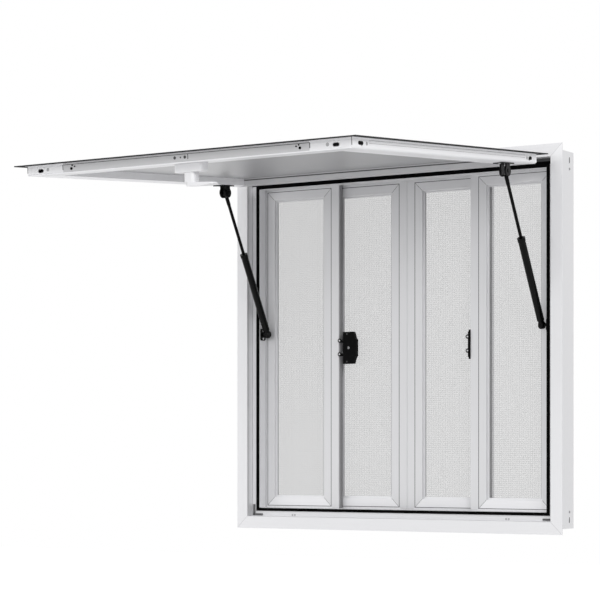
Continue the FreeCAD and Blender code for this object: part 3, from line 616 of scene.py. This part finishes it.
# latch and keeper: ring screws with steel centres, a button, two dots and the keeper's tips
latchScrew = {
    "z": (432 * mm, 466 * mm), "x": (-182.5 * mm, 180.5 * mm), "face": 49 * mm, "radius": 5.4 * mm,
    "height": 2 * mm, "core": 2.4 * mm, "coreHeight": 0.6, "coreTip": 0.9,
}
latchButton = {
    "x": -156.5 * mm, "z": 447.5 * mm, "face": 49 * mm, "radius": 3.4 * mm, "height": 0.6 * mm, "tip": 0.85,
}
latchDot = {
    "x": -161 * mm, "z": (413 * mm, 482 * mm), "face": 49 * mm, "radius": 2 * mm, "height": 0.3 * mm,
}
rings = bmesh.new()
cores = bmesh.new()
for x in latchScrew["x"]:
    for z in latchScrew["z"]:
        spot = Vector((x, latchScrew["face"], z))
        addScrew(rings, spot, (0, -1, 0), latchScrew["radius"], latchScrew["height"])
        height = latchScrew["height"] * latchScrew["coreHeight"]
        addDrum(cores, spot, (0, -1, 0), latchScrew["core"], height, tip=latchScrew["coreTip"])
newPiece("latchRings", rings, "blackMoulding", "frame")
newPiece("latchCores", cores, "screwSteel", "frame")
shape = bmesh.new()
spot = (latchButton["x"], latchButton["face"], latchButton["z"])
addDrum(shape, spot, (0, -1, 0), latchButton["radius"], latchButton["height"], tip=latchButton["tip"])
newPiece("latchButton", shape, "greyMoulding", "frame")
shape = bmesh.new()
for z in latchDot["z"]:
    spot = (latchDot["x"], latchDot["face"], z)
    addDrum(shape, spot, (0, -1, 0), latchDot["radius"], latchDot["height"], sides=12)
newPiece("latchDots", shape, "darkMoulding", "frame")
keeperTip = {
    "x": (182.5 * mm, 187 * mm), "y": (50 * mm, 56 * mm), "z": (412 * mm, 483 * mm), "reach": 6 * mm,
    "edge": 1 * mm,
}
shape = bmesh.new()
for z, step in zip(keeperTip["z"], (1, -1)):
    ends = sorted((z, z + step * keeperTip["reach"]))
    low = (keeperTip["x"][0], keeperTip["y"][0], ends[0])
    high = (keeperTip["x"][1], keeperTip["y"][1], ends[1])
    addSoftBlock(shape, low, high, keeperTip["edge"])
newPiece("keeperTips", shape, "blackMoulding", "frame")
print("latch fitted")

# door: weatherstrip under the skin's edge, and the small fittings of the rails
skinLow, skinHigh = shutBox("door_skin")
lipSeal = {
    "inset": 0.6 * mm, "width": 11 * mm, "thick": 0.8 * mm, "edge": 0.3 * mm, "wrap": 0.05 * mm,
    "wrapWidth": 0.4 * mm, "rise": 1.3 * mm,
}
shape = bmesh.new()
inset = Vector((lipSeal["inset"], 0, lipSeal["inset"]))
back = skinHigh.y
end = back + lipSeal["thick"]
addRing(shape, skinLow + inset, skinHigh - inset, lipSeal["width"], back, end, lipSeal["edge"])
wrap = Vector((lipSeal["wrap"], 0, lipSeal["wrap"]))
addRing(shape, skinLow - wrap, skinHigh + wrap, lipSeal["wrapWidth"], back - lipSeal["rise"], end)
newPiece("lipSeal", shape, "lipRubber", "door", swung=True)

railFront = 33 * mm  # outer face of the front rail
railSide = 417.5 * mm
cornerSeam = {"width": 1.2 * mm, "proud": 0.1 * mm, "low": -7.5 * mm, "high": 8 * mm}
shape = bmesh.new()
for side in (-1, 1):
    ends = sorted((side * (railSide - cornerSeam["width"]), side * (railSide + cornerSeam["proud"])))
    low = (ends[0], cornerSeam["low"], railFront - cornerSeam["proud"])
    high = (ends[1], cornerSeam["high"], railFront + cornerSeam["width"] / 2)
    addBlock(shape, low, high)
newPiece("railSeams", shape, "jointAndShadeLine", "door", swung=True)

railRing = {
    "x": 360 * mm, "y": 3 * mm, "radius": 4 * mm, "height": 0.4 * mm, "s": (91 * mm, 811 * mm), "socket": 0.6,
}
shape = bmesh.new()
for side in (-1, 1):
    spot = (side * railRing["x"], railRing["y"], railFront)
    addScrew(shape, spot, (0, 0, -1), railRing["radius"], railRing["height"], socket=railRing["socket"])
    for s in railRing["s"]:
        spot = (side * railSide, railRing["y"], s)
        addScrew(shape, spot, (side, 0, 0), railRing["radius"], railRing["height"], socket=railRing["socket"])
newPiece("railRings", shape, "faintLine", "door", swung=True)
sideLine = {
    "low": (-4.4 * mm, 1.6 * mm), "width": 0.8 * mm, "start": 100 * mm, "end": 800 * mm,
    "proud": 0.1 * mm, "sunk": 0.3 * mm,
}
shape = bmesh.new()
for side in (-1, 1):
    ends = sorted((side * (railSide - sideLine["sunk"]), side * (railSide + sideLine["proud"])))
    for low in sideLine["low"]:
        high = low + sideLine["width"]
        addBlock(shape, (ends[0], low, sideLine["start"]), (ends[1], high, sideLine["end"]))
newPiece("sideLines", shape, "faintLine", "door", swung=True)

railDots = {
    "x": 291 * mm, "spots": ((-5.5, -1, 1.7), (1, -3.5, 1.7), (3.5, 3, 3)), "y": 2 * mm, "height": 1 * mm,
}
shape = bmesh.new()
for side in (-1, 1):
    for across, down, radius in railDots["spots"]:
        spot = (side * (railDots["x"] + across * mm), railDots["y"] + down * mm, railFront)
        addDrum(shape, spot, (0, 0, -1), radius * mm, railDots["height"], sides=14)
newPiece("railDots", shape, "blackMoulding", "door", swung=True)

railSlot = {
    "s": (67 * mm, 828 * mm), "y": 2.6 * mm, "long": (20 * mm, 15 * mm), "tall": 8 * mm,
    "proud": 0.15 * mm, "sunk": 0.5 * mm, "round": 0.49, "steps": 6,
}
shape = bmesh.new()
for side in (-1, 1):
    for s, size in zip(railSlot["s"], railSlot["long"]):
        ends = sorted((side * (railSide - railSlot["sunk"]), side * (railSide + railSlot["proud"])))
        low = Vector((ends[0], railSlot["y"] - railSlot["tall"] / 2, s - size / 2))
        high = Vector((ends[1], railSlot["y"] + railSlot["tall"] / 2, s + size / 2))
        verts = addBlock(shape, low, high)
        across = [e for e in edgesOf(verts) if abs(e.verts[0].co.x - e.verts[1].co.x) > 0.1 * mm]
        soften(shape, across, railSlot["tall"] * railSlot["round"], railSlot["steps"])
newPiece("railSlots", shape, "blackMoulding", "door", swung=True)

# front rail: a grey tape over its channel, painted shade for the shaded channel, with a joint near the
# middle; a bright lower edge, a painted highlight; and a dark line along the panel's back edge, painted shade
channelShadeTape = {"half": 317 * mm, "low": -7.9 * mm, "high": 11.6 * mm, "face": 32.9 * mm, "back": 34.1 * mm}
shape = bmesh.new()
low = (-channelShadeTape["half"], channelShadeTape["low"], channelShadeTape["face"])
addBlock(shape, low, (channelShadeTape["half"], channelShadeTape["high"], channelShadeTape["back"]))
newPiece("channelShadeTape", shape, "channelShadeTape", "door", swung=True)
tapeLine = {
    "low": -4.6 * mm, "high": -3.4 * mm, "proud": 0.15 * mm, "deep": 0.3 * mm,
    "joint": 15 * mm, "gap": 1.8 * mm, "gapLow": -4.2 * mm, "gapHigh": 7 * mm,
    "marks": ((-18, 3.4), (-3, 1.8), (8, 3.4)), "markY": 2.4 * mm, "markHeight": 0.4 * mm, "socket": 0.55,
}
shape = bmesh.new()
front = railFront - tapeLine["proud"]
end = channelShadeTape["half"]
# a dark line along the tape's top edge, painted shade under the channel's upper edge
addBlock(shape, (-end, tapeLine["low"], front), (end, tapeLine["high"], front + tapeLine["deep"]))
# the dark gaps at the tape's two ends are painted shadow where the channel ends; the gap near the middle is a
# joint
for x in (tapeLine["joint"], end, -end - tapeLine["gap"]):
    low = (x, tapeLine["gapLow"], front)
    addBlock(shape, low, (x + tapeLine["gap"], tapeLine["gapHigh"], channelShadeTape["back"]))
for across, radius in tapeLine["marks"]:
    spot = (across * mm, tapeLine["markY"], channelShadeTape["face"])
    addScrew(shape, spot, (0, 0, -1), radius * mm, tapeLine["markHeight"], socket=tapeLine["socket"])
newPiece("tapeLines", shape, "jointAndShadeLine", "door", swung=True)
# a rounded bead along the front rail's lower edge, brighter than the rail: painted highlight
edgeHighlightBead = {
    "half": 417 * mm, "low": 11.5 * mm, "high": 14.1 * mm, "face": 32.8 * mm, "back": 40 * mm, "edge": 1 * mm,
}
shape = bmesh.new()
low = (-edgeHighlightBead["half"], edgeHighlightBead["low"], edgeHighlightBead["face"])
addSoftBlock(shape, low, (edgeHighlightBead["half"], edgeHighlightBead["high"], edgeHighlightBead["back"]), edgeHighlightBead["edge"])
newPiece("edgeHighlightBead", shape, "paintedLight", "door", swung=True)
# a dark line where the panel meets the back rail, painted shade in that corner
panelShadeLine = {"half": 361 * mm, "low": 0.6 * mm, "high": 3.2 * mm, "face": 803.4 * mm, "back": 804 * mm}
shape = bmesh.new()
low = (-panelShadeLine["half"], panelShadeLine["low"], panelShadeLine["face"])
addBlock(shape, low, (panelShadeLine["half"], panelShadeLine["high"], panelShadeLine["back"]))
newPiece("panelShadeLine", shape, "jointAndShadeLine", "door", swung=True)
print("door fitted")

# screws of the struts and of the long hinge
strutScrew = {
    "x": 387.6 * mm, "radius": 3 * mm, "height": 1 * mm, "inset": 5 * mm,
    "footX": 402 * mm, "footY": 34.5 * mm, "headY": 16.5 * mm,
}
for side, label in ((-1, "left"), (1, "right")):
    low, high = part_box(label + "_strut_foot")
    shape = bmesh.new()
    for z in (high.z - strutScrew["inset"], low.z + strutScrew["inset"]):
        spot = (side * strutScrew["footX"], strutScrew["footY"], z)
        addScrew(shape, spot, (-side, 0, 0), strutScrew["radius"], strutScrew["height"])
    newPiece(label + "FootScrews", shape, "screwSteel", "frame")
    shape = bmesh.new()
    for z in (headPlate["low"] + strutScrew["inset"], headPlate["high"] - strutScrew["inset"]):
        spot = (side * strutScrew["x"], strutScrew["headY"], z)
        addScrew(shape, spot, (0, 1, 0), strutScrew["radius"], strutScrew["height"])
    newPiece(label + "HeadScrews", shape, "screwSteel", "door", swung=True)
hingeScrew = {
    "count": 7, "reach": 275 * mm, "radius": 3.2 * mm, "height": 0.9 * mm, "edge": 7 * mm,
    "frameY": -5 * mm, "doorProud": 2 * mm, "doorLow": 860.5 * mm,
}
frameRow = bmesh.new()
doorRow = bmesh.new()
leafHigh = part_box("hinge_frame_leaf")[1]
for index in range(hingeScrew["count"]):
    x = hingeScrew["reach"] * (2 * index / (hingeScrew["count"] - 1) - 1)
    spot = (x, hingeScrew["frameY"], leafHigh.z - hingeScrew["edge"])
    addScrew(frameRow, spot, (0, -1, 0), hingeScrew["radius"], hingeScrew["height"])
    spot = (x, skinLow.y - hingeScrew["doorProud"], hingeScrew["doorLow"] + hingeScrew["edge"])
    addScrew(doorRow, spot, (0, -1, 0), hingeScrew["radius"], hingeScrew["height"])
newPiece("hingeFrameScrews", frameRow, "screwSteel", "frame")
newPiece("hingeDoorScrews", doorRow, "screwSteel", "door", swung=True)
print("screws fitted")


# stage
def seenRays(tree):  # 1 for camera, glossy and transmission rays, 0 for the rest
    rays = tree.nodes.new("ShaderNodeLightPath")
    total = rays.outputs["Is Camera Ray"]
    for kind in ("Is Glossy Ray", "Is Transmission Ray"):
        either = tree.nodes.new("ShaderNodeMath")
        either.operation = "MAXIMUM"
        tree.links.new(total, either.inputs[0])
        tree.links.new(rays.outputs[kind], either.inputs[1])
        total = either.outputs[0]
    return total


stage = {"drop": 0.95, "size": 30, "paper": 0.8, "rough": 0.9, "seenGlow": 0.7, "mirrorGlow": 0.45}
bpy.ops.mesh.primitive_plane_add(size=stage["size"], location=(0, 0, cadBox[0][2] - stage["drop"]))
floor = bpy.context.object
floor.name = "studioFloor"
paper = bpy.data.materials.new("floorPaper")
paper.use_nodes = True
tree = paper.node_tree
surface = tree.nodes["Principled BSDF"]
surface.inputs["Base Color"].default_value = (stage["paper"], stage["paper"], stage["paper"], 1)
surface.inputs["Roughness"].default_value = stage["rough"]
glow = tree.nodes.new("ShaderNodeEmission")
directRays = tree.nodes.new("ShaderNodeLightPath")
glowKind = tree.nodes.new("ShaderNodeMapRange")
glowKind.inputs["To Min"].default_value = stage["mirrorGlow"]
glowKind.inputs["To Max"].default_value = stage["seenGlow"]
glowLevel = tree.nodes.new("ShaderNodeMath")
glowLevel.operation = "MULTIPLY"
both = tree.nodes.new("ShaderNodeAddShader")
tree.links.new(directRays.outputs["Is Camera Ray"], glowKind.inputs["Value"])
tree.links.new(glowKind.outputs["Result"], glowLevel.inputs[1])
tree.links.new(seenRays(tree), glowLevel.inputs[0])
tree.links.new(glowLevel.outputs[0], glow.inputs["Strength"])
tree.links.new(surface.outputs[0], both.inputs[0])
tree.links.new(glow.outputs[0], both.inputs[1])
tree.links.new(both.outputs[0], tree.nodes["Material Output"].inputs["Surface"])
floor.data.materials.append(paper)

backdrop = {"light": 0.58, "seen": 1.0}
world = bpy.data.worlds.new("studio")
scene.world = world
world.use_nodes = True
tree = world.node_tree
strength = tree.nodes.new("ShaderNodeMapRange")
strength.inputs["To Min"].default_value = backdrop["light"]
strength.inputs["To Max"].default_value = backdrop["seen"]
tree.links.new(seenRays(tree), strength.inputs["Value"])
tree.links.new(strength.outputs["Result"], tree.nodes["Background"].inputs["Strength"])
tree.nodes["Background"].inputs["Color"].default_value = (1, 1, 1, 1)

lamps = [
    {"name": "keyLamp", "spot": (3.05, -2.55, 1.95), "aim": (0, 0, 0.45), "size": 1.5, "power": 55},
    {"name": "topLamp", "spot": (-0.3, -3.7, 2.9), "aim": (0, 0, 0.3), "size": 1.5, "power": 25},
    {"name": "fillLamp", "spot": (0.9, -4.6, 0.8), "aim": (0, 0, 0.5), "size": 2.0, "power": 15},
    {"name": "sideLamp", "spot": (-3.6, -2.1, 0.3), "aim": (0, 0, 0.4), "size": 1.5, "power": 14},
]
for lamp in lamps:
    data = bpy.data.lights.new(lamp["name"], "AREA")
    data.size = lamp["size"]
    data.energy = lamp["power"]
    item = bpy.data.objects.new(lamp["name"], data)
    scene.collection.objects.link(item)
    item.location = lamp["spot"]
    aim = Vector(lamp["aim"]) - Vector(lamp["spot"])
    item.rotation_euler = aim.to_track_quat("-Z", "Y").to_euler()
print("stage lit")

# camera, level, at the photograph's angle
view = {"turn": 32.59, "spot": (2.63945, -4.54942, 0.19014), "lens": 129.06, "sensor": 36, "rise": 0.2511}
cameraData = bpy.data.cameras.new("camera")
cameraData.lens = view["lens"]
cameraData.sensor_width = view["sensor"]
cameraData.shift_y = view["rise"]
camera = bpy.data.objects.new("camera", cameraData)
scene.collection.objects.link(camera)
camera.location = view["spot"]
camera.rotation_euler = (math.radians(90), 0, math.radians(view["turn"]))
scene.camera = camera
scene.view_settings.view_transform = "Standard"
